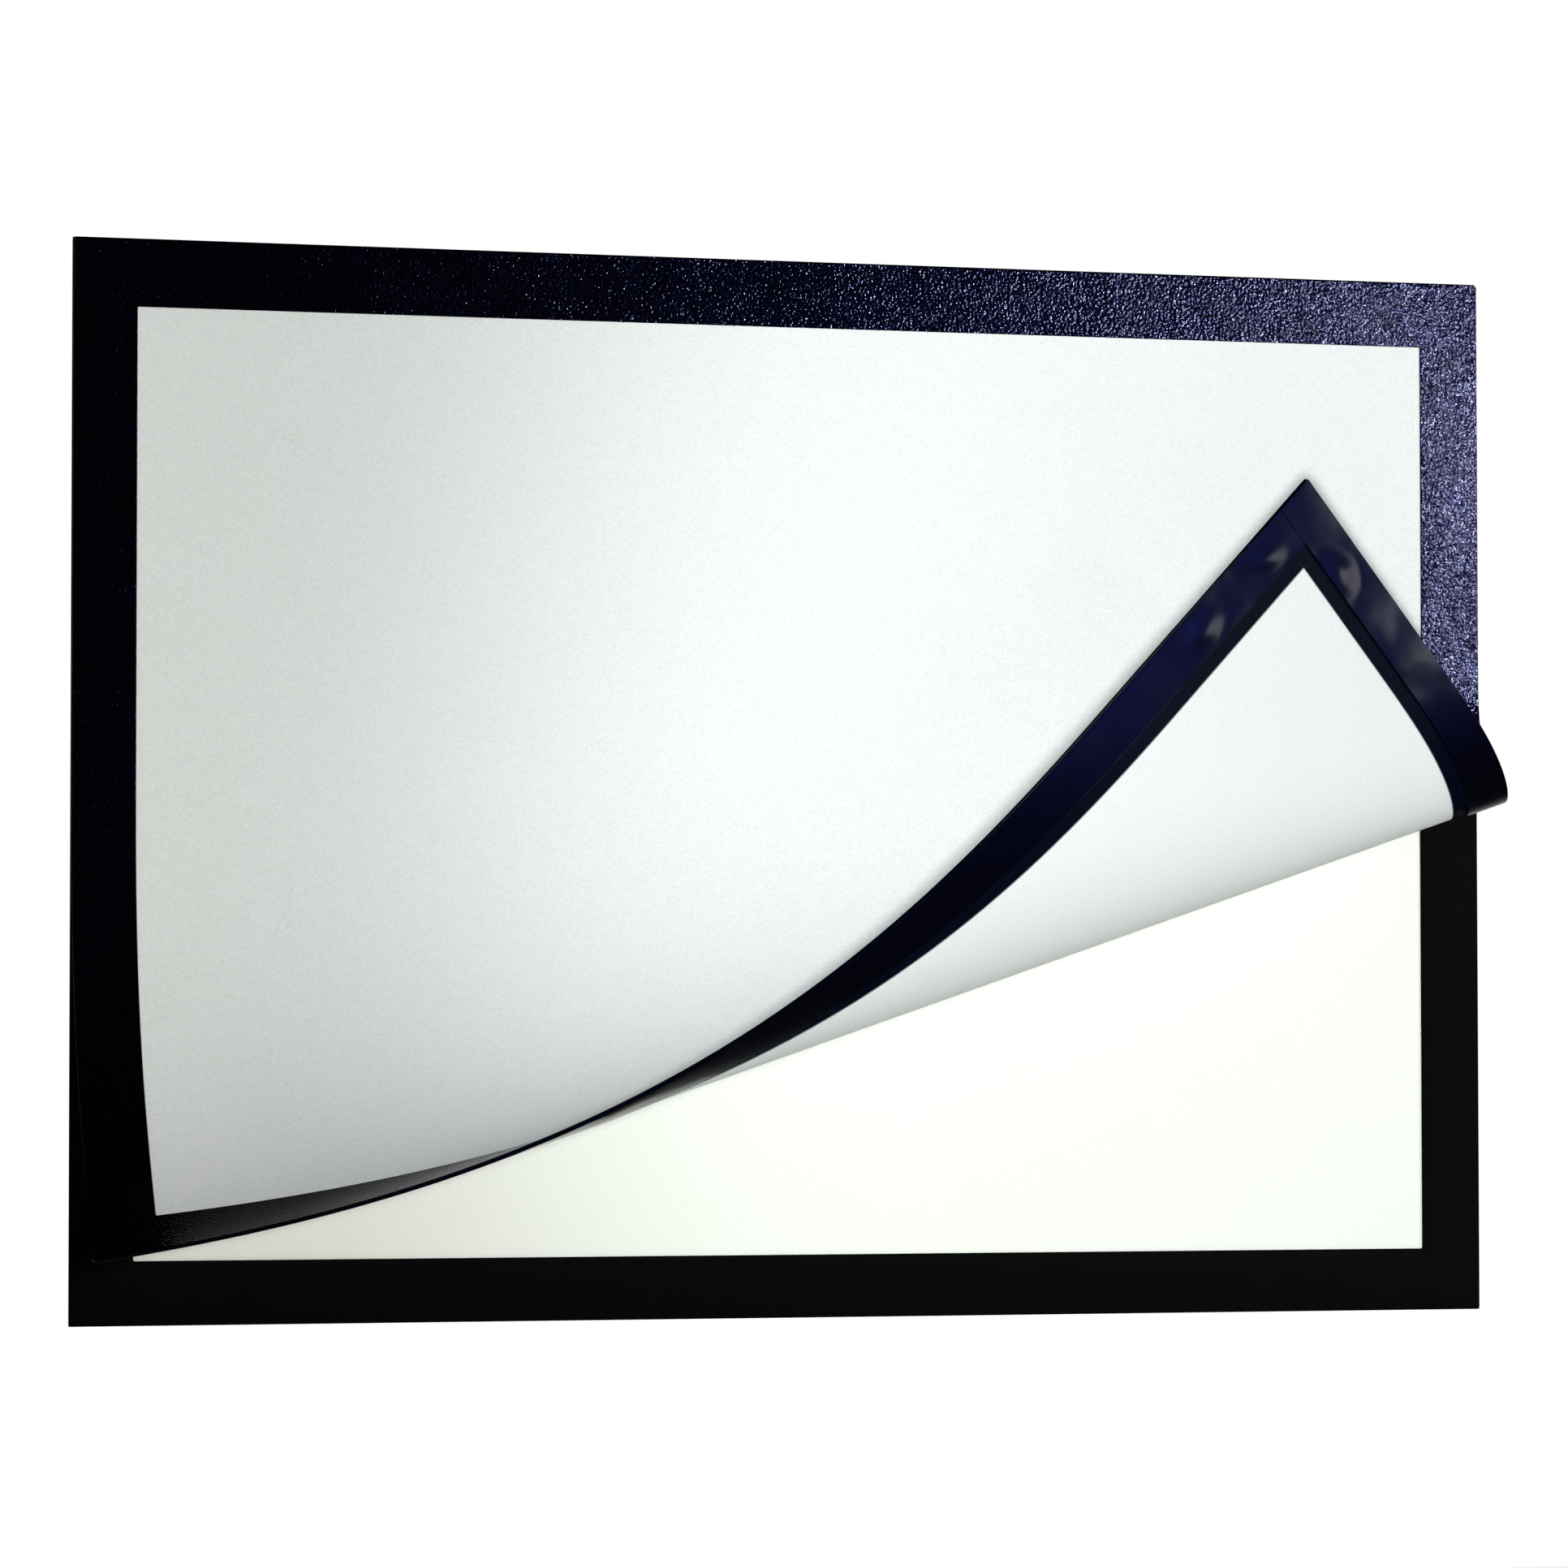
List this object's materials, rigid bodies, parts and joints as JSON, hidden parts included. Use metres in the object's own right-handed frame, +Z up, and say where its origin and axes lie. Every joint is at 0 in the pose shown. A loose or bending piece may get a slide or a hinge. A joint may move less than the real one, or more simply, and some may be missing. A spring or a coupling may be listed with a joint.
{
  "type": "poster frame",
  "caption": "Self-adhesive magnetic poster frame in landscape, with a black border and a clear cover that peels and folds up to change the sheet.",
  "frame": {"origin": "middle of the upper adhesive strip's wall face, which is stuck to the wall", "axes": "+X to the right along the frame's long side as seen from the front, +Y into the wall, +Z up"},
  "size_m": [0.6352, 0.1642, 0.455],
  "materials": {
    "black_film": "satin, finely grained black film",
    "clear_film": "matte, anti-glare clear film",
    "backing": "matte white sheet",
    "magnet": "satin magnetic rubber",
    "hinge_film": "satin",
    "adhesive": "matte foam tape"
  },
  "bodies": {
    "back_half": {"backing_sheet": "backing", "back_magnet_top": "magnet", "back_magnet_bottom": "magnet", "back_magnet_left": "magnet", "back_magnet_right": "magnet", "back_border": "black_film", "adhesive_top": "adhesive", "adhesive_bottom": "adhesive", "adhesive_left": "adhesive", "adhesive_right": "adhesive", "hinge_film": "hinge_film"},
    "cover": {"cover_film": "clear_film", "cover_border": "black_film", "cover_magnet_top_left": "magnet", "cover_magnet_top_right": "magnet", "cover_magnet_right": "magnet", "cover_magnet_lower_left": "magnet"},
    "flap_1": {"flap_1_film": "clear_film", "flap_1_border_right": "black_film", "flap_1_border_lower_left": "black_film", "flap_1_magnet_right": "magnet", "flap_1_magnet_lower_left": "magnet"},
    "flap_2": {"flap_2_film": "clear_film", "flap_2_border_right": "black_film", "flap_2_border_lower_left": "black_film", "flap_2_magnet_right": "magnet", "flap_2_magnet_lower_left": "magnet"},
    "flap_3": {"flap_3_film": "clear_film", "flap_3_border_right": "black_film", "flap_3_border_lower_left": "black_film", "flap_3_magnet_right": "magnet", "flap_3_magnet_lower_left": "magnet"},
    "flap_4": {"flap_4_film": "clear_film", "flap_4_border_right": "black_film", "flap_4_border_lower_left": "black_film", "flap_4_magnet_right": "magnet", "flap_4_magnet_lower_left": "magnet"},
    "flap_5": {"flap_5_film": "clear_film", "flap_5_border_right": "black_film", "flap_5_border_lower_left": "black_film", "flap_5_magnet_right": "magnet", "flap_5_magnet_lower_left": "magnet"},
    "flap_6": {"flap_6_film": "clear_film", "flap_6_border_right": "black_film", "flap_6_border_lower_left": "black_film", "flap_6_magnet_right": "magnet", "flap_6_magnet_lower_left": "magnet"},
    "flap_7": {"flap_7_film": "clear_film", "flap_7_border_right": "black_film", "flap_7_border_lower_left": "black_film", "flap_7_magnet_right": "magnet", "flap_7_magnet_lower_left": "magnet"},
    "flap_8": {"flap_8_film": "clear_film", "flap_8_border_right": "black_film", "flap_8_border_lower_left": "black_film", "flap_8_magnet_right": "magnet", "flap_8_magnet_lower_left": "magnet"}
  },
  "joints": [
    {"name": "cover_hinge", "type": "hinge", "parent": "back_half", "child": "cover", "pos_m": [0, -0.0027, 0.01], "axis": [-1, 0, 0], "range_deg": [0, 130]},
    {"name": "peel_1", "type": "hinge", "parent": "cover", "child": "flap_1", "pos_m": [0.5475, -0.0049, -0.1435], "axis": [0.9971, 0, 0.0763], "range_deg": [0, 5.31]},
    {"name": "peel_2", "type": "hinge", "parent": "flap_1", "child": "flap_2", "pos_m": [0.5475, -0.0049, -0.1435], "axis": [0.9809, 0.011, 0.1943], "range_deg": [0, 22.74]},
    {"name": "peel_3", "type": "hinge", "parent": "flap_2", "child": "flap_3", "pos_m": [0.5475, -0.0049, -0.1435], "axis": [0.9633, 0.0492, 0.264], "range_deg": [0, 28.4]},
    {"name": "peel_4", "type": "hinge", "parent": "flap_3", "child": "flap_4", "pos_m": [0.5475, -0.0049, -0.1435], "axis": [0.9477, 0.1078, 0.3004], "range_deg": [0, 30.1]},
    {"name": "peel_5", "type": "hinge", "parent": "flap_4", "child": "flap_5", "pos_m": [0.5475, -0.0049, -0.1435], "axis": [0.9372, 0.1748, 0.3018], "range_deg": [0, 30.1]},
    {"name": "peel_6", "type": "hinge", "parent": "flap_5", "child": "flap_6", "pos_m": [0.5475, -0.0049, -0.1435], "axis": [0.9339, 0.2367, 0.2679], "range_deg": [0, 28.4]},
    {"name": "peel_7", "type": "hinge", "parent": "flap_6", "child": "flap_7", "pos_m": [0.5475, -0.0049, -0.1435], "axis": [0.9386, 0.2812, 0.1999], "range_deg": [0, 22.74]},
    {"name": "peel_8", "type": "hinge", "parent": "flap_7", "child": "flap_8", "pos_m": [0.5475, -0.0049, -0.1435], "axis": [0.9499, 0.3014, 0.0825], "range_deg": [0, 5.31]}
  ],
  "couplings": [
    {"joint": "peel_1", "follows": "peel_2", "ratio": 0.23351},
    {"joint": "peel_3", "follows": "peel_2", "ratio": 1.2489},
    {"joint": "peel_4", "follows": "peel_2", "ratio": 1.3237},
    {"joint": "peel_5", "follows": "peel_2", "ratio": 1.3237},
    {"joint": "peel_6", "follows": "peel_2", "ratio": 1.2489},
    {"joint": "peel_7", "follows": "peel_2", "ratio": 1},
    {"joint": "peel_8", "follows": "peel_2", "ratio": 0.23351}
  ]
}
